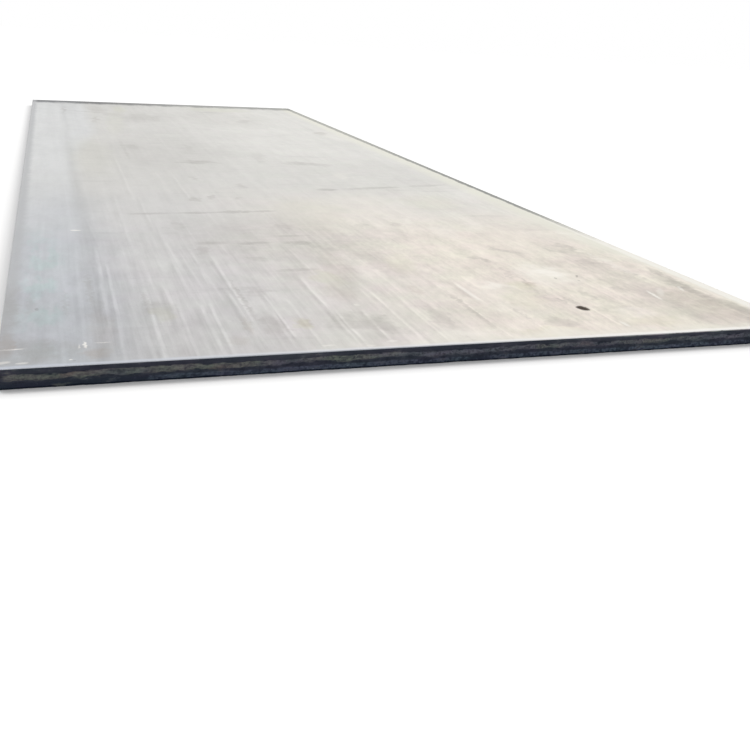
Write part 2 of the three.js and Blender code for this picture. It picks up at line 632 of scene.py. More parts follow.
# %% Scratches
def scratches(finish, pitch, reach, thick, turn, share, key):
    """Straight fine lines. The face is cut into cells, `pitch` wide and `reach` long, that lean by
    `turn` from the plate's length, and each column of cells starts at a random place. A random
    `share` of the cells hold one line each, with a random offset, brightness and length. Each line
    is a bright ridge, lighter steel with a painted glint, with a dark groove on its left that is
    painted shade."""
    lean = math.radians(turn)
    across = (finish.x * math.cos(lean) + finish.y * math.sin(lean)) / pitch
    along = (finish.y * math.cos(lean) - finish.x * math.sin(lean)) / reach
    column = calculate("FLOOR", across)
    start, _, _ = dice(column + key)
    along = along + start * 17
    cell = calculate("FLOOR", along)
    offset, chosen, extent = dice(column * 0.731 + cell * 12.37 + key)
    from_line = (calculate("FRACT", across) - (offset * 0.6 + 0.2)) * pitch
    # the ridge is lighter steel with a painted glint, the groove beside it painted shade
    ridge_and_glint = rise(abs(from_line), thick, thick * 0.2)
    painted_groove_shade = rise(abs(from_line + thick * 1.5), thick * 1.3, thick * 0.2)
    from_middle = abs(calculate("FRACT", along) - 0.5) * 2
    ends = rise(from_middle - extent * 0.5, 0.5, 0.1)
    return (ridge_and_glint - painted_groove_shade * 0.5) * ends * rise(chosen, 1 - share, 1 - share * 0.3)


# the longest scratches: the middle across and along the plate, half the length and the thickness
# in millimetres, the turn in degrees, the strength in percent
long_scratches = (
    (-766, -2380, 460, 8, 0.5, 80), (-746, -2600, 560, 7, 0.4, 80), (-667, -2740, 360, 8, 0.2, 90),
    (-612, -2700, 360, 8, -0.2, 70), (-600, -2840, 260, 7, 0.1, 80), (-545, -2820, 260, 8, 0, 80),
    (-522, -2800, 240, 7, 0.3, 100), (-455, -2660, 260, 7, -0.4, 100), (-438, -2480, 440, 8, 0.4, 80),
    (-381, -2820, 160, 7, 1, 90), (-368, -2720, 240, 6, 0.2, 90), (-318, -2780, 240, 7, 0.3, 70),
    (-231, -2680, 360, 7, 0.3, 100), (-219, -2840, 180, 6, -0.4, 100), (-152, -2840, 160, 7, 0.8, 80),
    (-75, -2740, 280, 8, 0.2, 80), (-17, -2780, 220, 7, 0, 60), (148, -2800, 200, 6, 0.3, 70),
    (202, -2580, 140, 9, 0.2, 90), (262, -2840, 130, 6, 0.5, 80), (482, -2840, 120, 6, 0.2, 60),
    (-655, -1500, 500, 9, 0.2, 40), (-565, -1450, 400, 8, 0.1, 30), (-585, -600, 700, 9, 0, 25),
    (-370, -900, 400, 9, 0.2, 20), (-490, -2100, 400, 8, 0.1, 40),
)


def one_scratch(total, x, y, middle_x, middle_y, slope, half, thick, strength):
    """A bright ridge, lighter steel with a painted glint, that fades over `thick` to each side, and a
    dark groove beside it that is painted shade. Both taper over the half length. The line is added
    to `total`."""
    run = y - middle_y
    from_line = x - middle_x - run * slope
    # the ridge is lighter steel with a painted glint, the groove beside it painted shade
    ridge_and_glint = rise(abs(from_line), thick, thick * 0.15)
    painted_groove_shade = rise(abs(from_line + thick * 1.6), thick * 1.5, thick * 0.2)
    ends = rise(abs(run), half, half * 0.55)
    return total + (ridge_and_glint - painted_groove_shade * 0.6) * ends * strength


scratch_inputs = "total x y middle_x middle_y slope half thick strength".split()
scratch_group = make_group("one_scratch", scratch_inputs, one_scratch)


def drawn_scratches(vector):
    """The long scratches together."""
    x, y, _ = split(vector)
    total = 0.0
    for middle_x, middle_y, half, thick, turn, strength in long_scratches:
        total = stamp(
            scratch_group, total=total, x=x, y=y, middle_x=middle_x / 1000, middle_y=middle_y / 1000,
            half=half / 1000, slope=math.tan(math.radians(turn)), thick=thick / 1000,
            strength=strength / 100,
        )
    return total


# %% Marks on the top face
# middle across and along, half the reach across and along, in millimetres; turn in degrees;
# strength in percent
shade_tint, shade_marks = srgb(150, 146, 140), (  # dull patches, some wide and faint
    (-200, -1850, 420, 460, 0, 34), (-300, 200, 480, 850, 0, 22), (300, 2050, 420, 800, 0, 26),
    (-220, 2050, 300, 550, 0, 14), (500, -500, 650, 700, 0, 19), (50, -2100, 70, 360, 4, 32),
    (760, -2450, 75, 600, 0, 34), (800, -2820, 170, 260, 20, 36), (-360, -1165, 24, 60, -6, 60),
    (-280, -1120, 26, 65, -8, 60), (-190, -1150, 24, 45, 0, 35), (-490, -1640, 35, 140, 0, 25),
    (-120, -1700, 40, 80, 0, 35), (-60, -2020, 50, 70, 0, 45), (-290, -2150, 45, 60, 0, 45),
    (-450, -2020, 30, 60, 0, 45), (170, -1700, 24, 60, -14, 35), (310, -1660, 26, 60, -16, 35),
    (240, -1860, 40, 160, -16, 25), (398, -2220, 24, 70, 24, 60), (550, -2140, 30, 130, 14, 40),
    (415, -2480, 12, 260, -1, 35), (435, -2690, 12, 50, 0, 45), (530, -2090, 40, 50, 0, 50),
    (620, -2280, 60, 120, -20, 25), (760, -2280, 40, 70, -20, 40), (810, -2450, 30, 90, -20, 45),
    (724, -2115, 22, 60, 24, 50), (793, -2060, 28, 130, 2, 60), (540, -2640, 22, 70, -10, 50),
    (680, -2590, 26, 60, -20, 50), (330, -2870, 46, 50, 0, 50), (420, -2700, 30, 60, 0, 35),
    (35, -2800, 30, 120, 0, 45), (-190, -2800, 80, 90, 0, 60), (-130, -2840, 40, 80, 0, 45),
    (-400, -2790, 40, 100, 0, 50), (-380, -2520, 40, 60, 0, 40), (-640, -2640, 50, 100, 0, 45),
    (-790, -2600, 26, 120, 0, 35), (-935, -2900, 65, 130, 0, 70), (-855, -2900, 30, 60, 0, 45),
    (-990, -2600, 22, 400, 0, 50), (-200, -160, 130, 70, 8, 65), (330, -160, 150, 65, -6, 50),
    (430, -210, 70, 55, 0, 40), (-280, -650, 24, 80, 0, 45), (-120, -850, 30, 70, 0, 40),
    (140, 50, 35, 280, -6, 30), (-180, 400, 30, 200, -6, 30), (-470, 380, 50, 130, 0, 40),
    (-600, 1700, 22, 260, -2, 50), (-310, 1880, 120, 420, -8, 32), (-200, 1850, 40, 260, -6, 35),
    (410, 1850, 45, 180, -14, 50), (800, 1220, 55, 110, -14, 70), (-560, 2400, 80, 300, 0, 35),
    (-480, 2060, 80, 160, 0, 35), (-790, 2280, 18, 280, 0, 60), (260, 2420, 130, 90, 0, 35),
)
dash_tint, dark_dashes = srgb(146, 142, 136), (  # narrow dashes, many of them across the plate
    (-560, -1450, 85, 26, 3, 55), (-380, -1435, 100, 24, 4, 55), (-240, -1422, 95, 30, 4, 80),
    (-130, -1412, 55, 24, 6, 55), (-410, -1930, 70, 30, 4, 50), (-280, -1935, 80, 26, 2, 60),
    (-130, -1945, 60, 34, 0, 60), (-120, -1840, 80, 20, 2, 50), (-220, -2290, 85, 20, 5, 50),
    (140, -2720, 10, 200, 0, 50), (260, -2800, 8, 100, 0, 40), (-430, -2560, 10, 220, 0, 50),
    (-670, -2560, 10, 120, 0, 50), (-860, -2560, 8, 160, 0, 35), (-940, -2560, 12, 120, 0, 35),
    (-800, -2420, 10, 200, 0, 40), (250, -930, 65, 36, 8, 70), (480, -880, 200, 32, 13, 50),
    (760, -810, 140, 30, 14, 40), (-520, 250, 12, 500, 0, 30), (-610, 2185, 200, 35, -20, 45),
    (922, -2450, 24, 100, -6, 85), (886, -2500, 22, 80, -10, 45), (902, -2580, 36, 110, -6, 95),
    (456, -2700, 10, 60, 2, 45), (902, -2690, 26, 110, 0, 65), (925, -2830, 34, 120, 0, 80),
    (890, -2930, 60, 80, 0, 55),
)
pale_tint, pale_patches = srgb(250, 246, 238), (  # rubbed bright places
    (540, -2390, 60, 80, -20, 95), (567, -2415, 24, 60, 0, 100), (530, -2410, 110, 180, 0, 60),
    (860, 1150, 120, 450, 0, 22), (930, -1880, 36, 120, 0, 80), (830, -2300, 20, 220, 0, 40),
    (310, -2505, 34, 60, -20, 65), (280, -2650, 120, 240, 0, 26), (420, -550, 40, 150, -10, 22),
    (380, -1600, 30, 80, -16, 45), (450, -1800, 70, 160, -16, 34), (600, -1720, 60, 140, -16, 28),
    (40, -2930, 120, 50, 0, 40), (290, -2945, 100, 40, 0, 45), (590, -2820, 60, 60, 0, 35),
)
chalk_tint, chalk_marks = srgb(249, 246, 240), (  # thin scuffs and old smears of chalk
    (200, -2580, 10, 110, 0, 45), (790, -2645, 14, 60, -30, 35), (748, -2675, 8, 62, -7, 75),
    (880, -2620, 8, 40, -20, 50), (495, -2918, 8, 30, 0, 60), (-815, -1720, 22, 12, -6, 60),
    (-826, -2876, 4, 28, 3, 70), (-838, -2886, 3, 18, -8, 35), (-790, -2866, 22, 4, 1, 35),
    (-972, -2885, 30, 5, 3, 60), (-985, -2965, 16, 10, 15, 75), (-950, -2972, 16, 6, 0, 40),
    (-310, -2962, 20, 8, 0, 35), (-155, -2955, 18, 10, 8, 40), (-215, -2978, 14, 7, 0, 35),
    (-150, -2660, 10, 12, 0, 35), (-857, -2966, 4, 4, 0, 70),
)
rust_tint, rust_marks = srgb(164, 147, 132), (  # brown where the scale has flaked
    (-785, -2780, 40, 180, 0, 24), (-805, -2935, 40, 40, 0, 50), (-985, -2860, 22, 100, 0, 70),
    (-500, -2900, 30, 50, 0, 30), (-460, -2790, 14, 80, 0, 30), (-320, -2790, 22, 40, 0, 45),
    (-160, -2540, 70, 110, 0, 25), (-90, -2280, 60, 260, -6, 25), (850, -2780, 110, 240, 0, 32),
    (425, -2520, 24, 36, 0, 50), (60, -2540, 20, 60, 0, 30),
)
olive_tint, olive_marks = srgb(206, 208, 176), (  # yellow-green where the oxide is thin
    (30, -1450, 180, 400, -8, 28), (620, -1250, 160, 240, -16, 40), (120, -2250, 60, 200, -14, 40),
    (390, -2530, 60, 60, 0, 80), (330, -2660, 80, 110, -20, 70), (-150, -2380, 50, 120, 0, 55),
    (-330, -2800, 28, 60, 0, 90), (-640, -2680, 30, 70, 0, 45), (270, -2940, 130, 50, 0, 80),
    (600, -2900, 100, 70, 0, 70), (-700, 100, 140, 900, 0, 22), (-480, 1600, 70, 900, -4, 28),
    (350, 2650, 320, 220, 0, 50), (-400, 2450, 60, 350, 0, 50),
)
spot_tint, dark_spots = srgb(66, 56, 46), (  # small scabs and drips
    (455, -2768, 18, 27, 3, 100), (461, -2774, 14, 19, 0, 80), (622, -2450, 5, 18, -30, 35),
    (540, -2466, 5, 14, -10, 28), (602, -2497, 4, 9, 0, 28), (-850, -2974, 4, 5, 0, 25),
    (-925, -2600, 5, 14, 0, 22),
)


# %% One mark, and all of a kind
def soft_ellipse(clear, x, y, along_x, along_y, along, across_x, across_y, across, core, strength):
    """The place is measured along the ellipse's two axes in shares of its reach. The mark is 1
    inside the core, falls smoothly to 0 at the rim, and takes its strength's share of `clear`."""
    total = 0.0
    for axis_x, axis_y, start in ((along_x, along_y, along), (across_x, across_y, across)):
        part = calculate("MULTIPLY_ADD", x, axis_x, start)
        part = calculate("MULTIPLY_ADD", y, axis_y, part)
        total = calculate("MULTIPLY_ADD", part, part, total)
    return (1 - rise(total, 1.0, core * core) * strength) * clear


ellipse_inputs = "clear x y along_x along_y along across_x across_y across core strength".split()
ellipse_group = make_group("soft_ellipse", ellipse_inputs, soft_ellipse)


def all_marks(vector, marks, core=0.2):
    """The marks laid over each other: one less the product of what each leaves clear."""
    x, y, _ = split(vector)
    clear = 1.0
    for middle_x, middle_y, reach_x, reach_y, turn, strength in marks:
        middle = Vector((middle_x / 1000, middle_y / 1000))
        turned = Vector((math.cos(math.radians(turn)), math.sin(math.radians(turn))))
        along, across = turned / (reach_x / 1000), turned.orthogonal() / (reach_y / 1000)
        clear = stamp(
            ellipse_group, clear=clear, x=x, y=y, core=core, strength=strength / 100,
            along_x=along.x, along_y=along.y, along=-along.dot(middle),
            across_x=across.x, across_y=across.y, across=-across.dot(middle),
        )
    return 1 - clear


# %% Fields of colour
# The pale, warm and cool scales carry painted reflection: lighter and warmer to the right, cooler and
# darker to the left.
plain_scale, pale_scale_and_reflection, side_scale = srgb(211, 210, 207), srgb(226, 225, 221), srgb(214, 215, 215)
grey_scale, warm_scale_and_reflection = srgb(208, 207, 207), srgb(236, 229, 219)
cool_scale_and_shade, teal_scale = srgb(191, 194, 199), srgb(182, 197, 198)


def scale_fields(finish):
    """Plain to pale scale across the far part and grey to warm scale across the near part: the scale's
    own tone and painted reflection, lighter and warmer to the right and cooler and darker to the left.
    A lighter band runs down the left side, and in the near part it is cool with patches of teal; its
    cool, darker tone there is painted reflection too. The fields' edges wander."""
    x, y = finish.x, finish.y
    wander = blotches(finish, 0.7, 11.0, detail=3.0)
    side = x + wander * 0.14
    band_side = x + wander * 0.03 + streaks(finish, 0.05, 0.6, 15.0) * 0.02
    near = rise(y + blotches(finish, 0.9, 12.0) * 0.7, -0.6, -2.3)
    # painted reflection: lighter and warmer towards the right in both parts, cooler and darker in the
    # near left band
    far_colour = mix(rise(side, -0.5, 0.5), plain_scale, pale_scale_and_reflection)
    band_edge = rise(y, -0.2, 1.2) * 0.14 - 0.78
    far_colour = mix(rise(band_side - band_edge, 0.05, -0.05), far_colour, side_scale)
    near_colour = mix(rise(side, -0.60, 0.38), grey_scale, warm_scale_and_reflection)
    near_colour = mix(rise(band_side, -0.60, -0.88), near_colour, cool_scale_and_shade)
    teal = rise(abs(band_side + 0.92), 0.08, 0.02) * rise(abs(y + 2.3), 0.75, 0.3)
    patches = rise(streaks(finish, 0.05, 0.13, 17.0), -0.10, 0.25)
    near_colour = mix(teal * patches * 0.6, near_colour, teal_scale)
    return mix(near, far_colour, near_colour)


# %% Shades on the left
seam_distance = 0.796  # left of the middle


def seam(finish):
    """A soft dark line down the left of the plate, where the rolls' edge ran, with a wider shade to
    its right. Both are weaker in the far part and next to the near end."""
    place = finish.x + seam_distance + streaks(finish, 0.3, 0.9, 8.0) * 0.016
    line = rise(abs(place), 0.042, 0.004)
    shade = rise(place, 0.20, 0.0) * rise(place, -0.02, 0.01)
    depth = rise(finish.y, 0.9, 0.0) * 0.5 - rise(finish.y, -1.9, -2.6) * 0.3 + 0.5
    return (line * 0.060 + shade * 0.055) * depth


def dull_places(finish):
    """A shade over the near left corner and another over the middle of the left band."""
    corner = rise(finish.y, -2.3, -3.0) * rise(finish.x, -0.2, -0.9)
    band = rise(abs(finish.y + 1.0), 0.65, 0.1) * rise(finish.x, -0.70, -0.82)
    return corner * 0.10 + band * 0.045


# %% Levels
def scale_level(finish, worn, lines):
    """How much lighter or darker than its field each place is, as a factor about 1: a sum of
    streaks from broad to fine, less the cross dashes and the shades on the left. The near part is
    `worn`: gritty on its right, streaked on its left, and blotched in the band at the far left."""
    gritty = worn * rise(finish.x, -0.6, 0.6)
    streaky = worn * rise(finish.x, -1.0, -0.74) * (1 - rise(finish.x, 0.0, 0.5) * 0.5)
    band = worn * rise(finish.x, -0.74, -1.0)
    total = streaks(finish, 0.14, 3.5, 1.0) * 0.04 + 1
    total += streaks(finish, 0.05, 1.8, 2.0) * (worn * 0.04 + 0.05)
    total += streaks(finish, 0.020, 0.7, 3.0) * (streaky * 0.08 + 0.025)
    total += streaks(finish, 0.009, 0.35, 4.0) * streaky * 0.10
    total += blotches(finish, 0.40, 5.0) * 0.06
    total += streaks(finish, 0.07, 0.28, 18.0) * (worn * 0.02 + 0.05)
    total += streaks(finish, 0.060, 0.150, 6.0, detail=4.0) * (worn * 0.11 + gritty * 0.07 + 0.06)
    total += streaks(finish, 0.016, 0.045, 9.0, detail=4.0, turn=16.0) * (gritty * 0.14 + 0.03)
    total += streaks(finish, 0.020, 0.080, 16.0, detail=4.0) * band * 0.13
    dashes = rise(streaks(finish, 0.30, 0.07, 7.0, detail=5.0), 0.10, 0.70)
    dashes = dashes * (rise(finish.x, -0.86, -0.70) * 0.10 + 0.02)
    return total + lines - dashes - seam(finish) - dull_places(finish)


# %% Fine lines
def fine_lines(finish, worn):
    """Three sets of random scratches, fainter where the plate isn't worn, and the drawn ones. All
    of them break up into pieces."""
    wavy_x = finish.x + streaks(finish, 0.5, 0.35, 13.0, detail=2.0) * 0.008
    wavy = join(wavy_x, finish.y, finish.z)
    lines = (
        scratches(finish, 0.033, 0.9, 0.0060, 0.8, 0.35, 3.0) * 0.06
        + scratches(finish, 0.051, 1.3, 0.0080, -0.6, 0.35, 4.0) * 0.06
        + scratches(finish, 0.090, 0.6, 0.0050, 3.0, 0.30, 5.0) * 0.06
    ) * (worn * 0.8 + 0.2) + drawn_scratches(wavy) * 0.18
    pieces = rise(streaks(finish, 0.04, 0.13, 32.0, detail=4.0), -0.4, 0.3)
    return lines * (pieces * 0.75 + 0.3)


# %% Marks laid over the colour
def ragged_place(finish, size, reach, key):
    """The place on the plate, pushed about by up to `reach` by noise with patches `size` wide."""
    return join(
        finish.x + blotches(finish, size, key, detail=5.0) * reach,
        finish.y + blotches(finish, size, key + 0.5, detail=5.0) * reach,
        finish.z,
    )


def marked(finish, colour):
    """The colour under all the marks, and where the dark spots are. The wide marks have torn
    outlines, the narrow ones frayed ones and the smallest chipped ones."""
    torn = ragged_place(finish, 0.075, 0.075, 20.0)
    broken = rise(streaks(finish, 0.06, 0.04, 19.0, detail=5.0), -0.45, 0.35) * 0.5 + 0.5
    colour = mix(all_marks(torn, olive_marks) * 0.35, colour, olive_tint)
    colour = mix(all_marks(torn, shade_marks) * broken * 0.55, colour, shade_tint)
    colour = mix(all_marks(torn, pale_patches) * broken, colour, pale_tint)
    frayed = ragged_place(finish, 0.020, 0.024, 22.0)
    colour = mix(all_marks(frayed, rust_marks) * broken * 0.60, colour, rust_tint)
    colour = mix(all_marks(frayed, dark_dashes) * broken * 0.55, colour, dash_tint)
    chipped = ragged_place(finish, 0.014, 0.007, 24.0)
    colour = mix(all_marks(chipped, chalk_marks), colour, chalk_tint)
    spots = all_marks(chipped, dark_spots, core=0.5)
    return mix(spots, colour, spot_tint), spots


# %% Tints along the rim
far_dark, far_light = (0.32, 0.325, 0.335), (0.49, 0.50, 0.50)  # multiply the colour
# The brightest side colour is a painted highlight on the right rim near the front.
side_band, side_highlight, side_dark = srgb(235, 234, 222), srgb(248, 246, 239), srgb(150, 151, 147)
left_dull, left_duller = srgb(180, 181, 183), srgb(167, 167, 168)
# The near end's line colours are a painted highlight beside the near arris.
end_patch, near_end_highlight_left, near_end_highlight_right = srgb(240, 238, 228), srgb(190, 196, 207), srgb(252, 250, 246)
# The near arris colours are a painted highlight along the rounded near edge, brightest to the right.
near_arris_highlight_left, near_arris_highlight_right = srgb(172, 176, 183), srgb(250, 249, 246)
arris_left, arris_other = srgb(190, 191, 192), srgb(112, 114, 116)


def rim_tints(finish, colour):
    """The colour with what handling and light leave along the rim. At the far end it is a darker band
    that ends in streaks, darker to the left. Along the right side it is a pale rubbed band, and at
    the very rim a dark line that fades towards the near corner and gives way to a painted highlight.
    Along the left side it is a dull shade, darker near the front. Along the near end there are pale
    rubbed patches and a thin painted highlight beside the arris."""
    x, y = finish.x, finish.y
    rough = blotches(finish, 0.05, 24.0)
    far_gap = length / 2 - y + streaks(finish, 0.08, 0.25, 27.0, detail=5.0) * 0.13
    right_gap = width / 2 - x + rough * 0.012
    left_gap = width / 2 + x + rough * 0.012
    near_gap = length / 2 + y + rough * 0.006
    worn_side = rise(blotches(finish, 0.12, 26.0), -0.5, 0.1) * 0.4 + 0.45
    side_reach = right_gap + rise(y, -2.1, -2.5) * 0.068
    colour = mix(rise(side_reach, 0.15, 0.05) * worn_side, colour, side_band)
    # a darker band at the far end, ending in streaks
    far_band = rise(far_gap, 0.27, 0.09) * 0.95 + rise(far_gap, 0.70, 0.25) * 0.05
    far_band_tint = mix(rise(x, -0.6, 0.2), far_dark, far_light)
    colour = mix(far_band, colour, tinted(colour, far_band_tint))
    beside = rise(y + rough * 0.2, -2.15, -1.25)
    # painted highlight along the right rim near the front
    right_rim_highlight = rise(right_gap, 0.050, 0.030) * (1 - beside)
    colour = mix(right_rim_highlight * 0.8, colour, side_highlight)
    dark_reach = right_gap - rise(y, -1.5, 2.6) * 0.018
    beside = beside * (1 - rise(y, -1.0, 1.5) * 0.3)
    colour = mix(rise(dark_reach, 0.034, 0.022) * beside, colour, side_dark)
    dull_side = mix(rise(y, -2.3, -2.6), left_dull, left_duller)
    dull_share = 0.75 - rise(y, -2.5, -2.8) * 0.25
    colour = mix(rise(left_gap, 0.045, 0.015) * dull_share, colour, dull_side)
    patches = rise(blotches(finish, 0.09, 25.0), -0.45, 0.2)
    rubbed = rise(near_gap, 0.075, 0.020) * patches * rise(x, -0.35, 0.1)
    colour = mix(rubbed * 0.5, colour, end_patch)
    # a thin painted highlight along the near end
    near_end_highlight = mix(rise(x, -1.2, 0.7), near_end_highlight_left, near_end_highlight_right)
    return mix(rise(near_gap, 0.019, 0.008) * 0.75, colour, near_end_highlight)


def arris_tint_and_highlight(finish, colour):
    """The colour with the rollover's: a painted highlight on the near side, more so to the right, dull
    on the left side and dark elsewhere."""
    x, y = finish.x, finish.y
    stage = finish.attribute("cut_stage")
    # painted highlight along the near arris
    near_arris_highlight = mix(rise(x, -0.2, 0.6), near_arris_highlight_left, near_arris_highlight_right)
    left_side = rise(x, -0.995, -0.999) * rise(y, -2.99, -2.98)
    arris = mix(left_side, arris_other, arris_left)
    arris = mix(rise(y, -length / 2 + 0.02, -length / 2 + 0.01), arris, near_arris_highlight)
    return mix(rise(stage, 0.05, 0.6) * rise(stage, 2.5, 1.5), colour, arris)


# %% The scale's recipe
def mill_scale():
    """Fields of colour times the level, with a faint tinge, the marks, the tints along the rim and the
    rollover's painted highlight, over a relief of grains, pits and scratches."""
    finish = Finish("mill_scale")
    worn = rise(finish.y + blotches(finish, 1.1, 10.0) * 1.2, -0.8, -2.5)
    lines = fine_lines(finish, worn)
    level = scale_level(finish, worn, lines)
    colour = tinted(scale_fields(finish), grey(level))
    tinge = rise(blotches(finish, 0.16, 14.0), -0.5, 0.5)
    tinge_colour = mix(tinge, (1.0, 0.965, 0.99), (0.975, 1.0, 0.965))
    tinge_share = (worn * 0.7 + 0.3) * (rise(finish.x, -0.8, 0.2) * 0.5 + 0.5)
    colour = mix(tinge_share, colour, tinted(colour, tinge_colour))
    colour, spots = marked(finish, colour)
    colour = arris_tint_and_highlight(finish, rim_tints(finish, colour))
    finish.shade({"Base Color": colour, "Roughness": 0.46 - lines * 0.8})
    finish.shade({"Metallic": 0.4, "Specular IOR Level": 0.0})
    grain = blotches(finish, 0.0024, 30.0, detail=3.0)
    pits = blotches(finish, 0.016, 31.0)
    relief = bump(grain, 0.0002)
    relief = bump(pits, 0.0006, Normal=relief)
    relief = bump(lines - spots * 0.5, 0.0012, Normal=relief)
    finish.shade({"Normal": relief})
    return finish.material


# %% [markdown]
# ## The cut edges
# A sheared edge shows its history in bands. The land is polished by the blade and has gone
# blue-black. The torn face below it is dull and coarse, and holds dust and the first rust in its
# upper half. Lower down it is dark, then the lower blade has rubbed it to a blue-grey band, and the
# foot is black. All the bands are painted darker than the steel, as painted shade of edges that
# face away from the light, and the land's blue-black is also the painted reflection of dark ground
# in its polish. The foot's black is a painted contact shadow, and a bright line along the top of
# the land on the right is a painted highlight. A thin oxide tints all of it, violet here and green
# there. The stage attribute says where each band is, so the colours follow the shape.

# %% Colours of the cut edges
# These colours are painted darker than the steel: painted shade of edges that face away from the light.
# The black foot is a painted contact shadow, and the land's bright colour is a painted highlight.
land_dark, land_light, land_highlight = srgb(33, 38, 49), srgb(60, 61, 71), srgb(206, 205, 202)
dust_grey, dust_olive = srgb(104, 106, 115), srgb(119, 121, 113)
dust_brown, dust_pit = srgb(114, 98, 92), srgb(58, 60, 67)
torn_dark, torn_light = srgb(41, 45, 55), srgb(62, 66, 77)
rubbed_dark, rubbed_light, rubbed_fleck = srgb(46, 52, 65), srgb(86, 95, 109), srgb(126, 132, 142)
foot_contact_shadow = srgb(13, 24, 40)
oxide_violet, oxide_green = (1.04, 0.96, 1.07), (0.93, 1.03, 1.01)  # multiply the colour


# %% Patterns that the bands share
class EdgeFinish(Finish):
    """A finish for the cut edges, with the stage of the cut and noises from slow to fine."""

    def __init__(self, name):
        super().__init__(name)
        self.stage = self.attribute("cut_stage")
        self.run = self.x + self.y
        self.slow = self.pattern(0.45, 0.2, 1.0)
        self.drag = self.pattern(0.0016, 0.030, 2.0)
        self.lump = self.pattern(0.055, 0.016, 3.0)
        self.clod = self.pattern(0.026, 0.011, 6.0, detail=2.0)
        self.grit = self.pattern(0.004, 0.003, 4.0, detail=4.0)
        self.to_left = rise(self.x, 0.1, -0.9)
        self.crumb = self.pattern(0.008, 0.009, 12.0, detail=2.0) * (1 - self.to_left * 0.6)

    def pattern(self, wide, high, key, detail=3.0):
        """Noise about `wide` along the edge and `high` up it, from -1 to 1."""
        stretched = join(self.run / wide, self.z / high, key)
        return (noise(stretched, detail, roughness=0.65) - 0.5) * 2


# %% Colours of the bands
def land_colour(edge):
    """Dark to lighter blue-black, with a painted highlight along the top of the right half."""
    shade = rise(edge.slow * 0.6 + edge.lump * 0.8 + edge.drag * 0.3, -0.5, 0.5)
    land = mix(shade, land_dark, land_light)
    # painted highlight along the top of the land
    top_highlight = rise(edge.stage, 1.37, 1.02) * rise(edge.x + edge.slow * 0.2, 0.15, 0.65)
    return mix(top_highlight * 0.8, land, land_highlight)


def dust_colour(edge):
    """Grey to olive, brown in places, with dark pits."""
    hue = rise(edge.pattern(0.16, 0.1, 7.0) + edge.to_left * 0.4, -0.1, 0.5)
    dust = mix(hue, dust_grey, dust_olive)
    brown = rise(edge.pattern(0.11, 0.05, 8.0), 0.10, 0.45)
    dust = mix(brown * 0.55, dust, dust_brown)
    pits = rise(edge.clod * 0.8 + edge.lump * 0.2 + edge.crumb, -0.30, 0.45)
    return mix(pits * 0.9, dust, dust_pit)


def dust_cover(edge):
    """How much dust hides what is under it: lumps of it in a band that swells and shrinks in the
    upper half of the torn face, and none at the near left corner."""
    to_right = rise(edge.x, 0.2, 0.8)
    stage = edge.stage + edge.slow * 0.10 - edge.to_left * 0.05 - to_right * 0.05
    band = rise(abs(stage - 3.18) - edge.to_left * 0.03, 0.34, 0.05)
    cover = rise(band + edge.lump * 1.7 + edge.clod * 0.9 + edge.crumb * 0.8, 0.20, 0.95)
    return cover * rise(edge.x, -0.995, -0.975) * (1 - to_right * 0.12)


def torn_colour(edge):
    """Dark to lighter blue-grey by the coarse noises."""
    shade = rise(edge.lump * 0.4 + edge.clod * 0.8 + edge.crumb * 0.6, -0.5, 0.5)
    return mix(shade, torn_dark, torn_light)


def rubbed_colour(edge):
    """Dark to pale blue-grey with pale flecks, darker near the left corner."""
    shade = edge.clod + edge.lump * 0.9 + edge.slow * 0.5
    shade = shade - rise(edge.x + edge.lump * 0.1, -0.66, -0.80) * 0.7
    rubbed = mix(rise(shade + edge.crumb * 1.4, -0.50, 0.50), rubbed_dark, rubbed_light)
    flecks = rise(edge.pattern(0.009, 0.006, 9.0, detail=2.0), 0.26, 0.42)
    return mix(flecks * rise(edge.lump + edge.slow, -0.2, 0.3), rubbed, rubbed_fleck)


# %% The edges' recipe
def sheared_edge():
    """The bands are laid over each other by the stage of the cut, with ragged limits, and the
    oxide's tint goes over them all. The torn face is rough and grainy, the land smoother."""
    edge = EdgeFinish("sheared_edge")
    land, dust, cover = land_colour(edge), dust_colour(edge), dust_cover(edge)
    torn, rubbed = torn_colour(edge), rubbed_colour(edge)
    colour = mix(rise(edge.stage + edge.lump * 0.12, 3.58, 3.70), torn, rubbed)
    # the black foot is a painted contact shadow
    colour = mix(rise(edge.stage + edge.clod * 0.06, 3.91, 3.99), colour, foot_contact_shadow)
    on_land = rise(edge.stage + edge.lump * 0.4 + edge.clod * 0.3, 3.0, 2.7)
    colour = mix(cover, mix(on_land, colour, land), dust)
    oxide = rise(edge.pattern(0.09, 0.03, 11.0), -0.35, 0.35)
    colour = tinted(colour, mix(oxide, oxide_violet, oxide_green))
    edge.shade({"Base Color": colour})
    smooth_land = rise(edge.stage, 2.6, 2.2)
    edge.shade({"Roughness": 0.86 - smooth_land * 0.30 + edge.drag * 0.08})
    edge.shade({"Metallic": 0.0, "Specular IOR Level": 0.15})
    relief = edge.grit * (1 - smooth_land) + edge.drag * smooth_land * 0.2
    edge.shade({"Normal": bump(relief, 0.0012)})
    return edge.material


# %% Lay both finishes on the plate
plate.data.materials.append(mill_scale())
plate.data.materials.append(sheared_edge())
for material in plate.data.materials:
    print(f"{material.name}: {len(material.node_tree.nodes)} nodes")

# %% [markdown]
# ## Floor and light
# A plain pale floor carries the plate's shadow. To the camera, and in the plate's own shine, the
# floor glows a little on top of what the light gives it, and more so further away, so that it is
# plain white with no horizon but still darkens where the plate shades it. At the plate's foot the
# glow fades to nothing, which adds painted shade in a narrow ring round the plate. A wide soft sun,
# high and a little behind the plate, and a pale sky light the plate at a level at which its colours
# come out as written.

# %% Lay the floor
floor_half = 30.0
floor_gap = 0.2 * mm  # under the plate


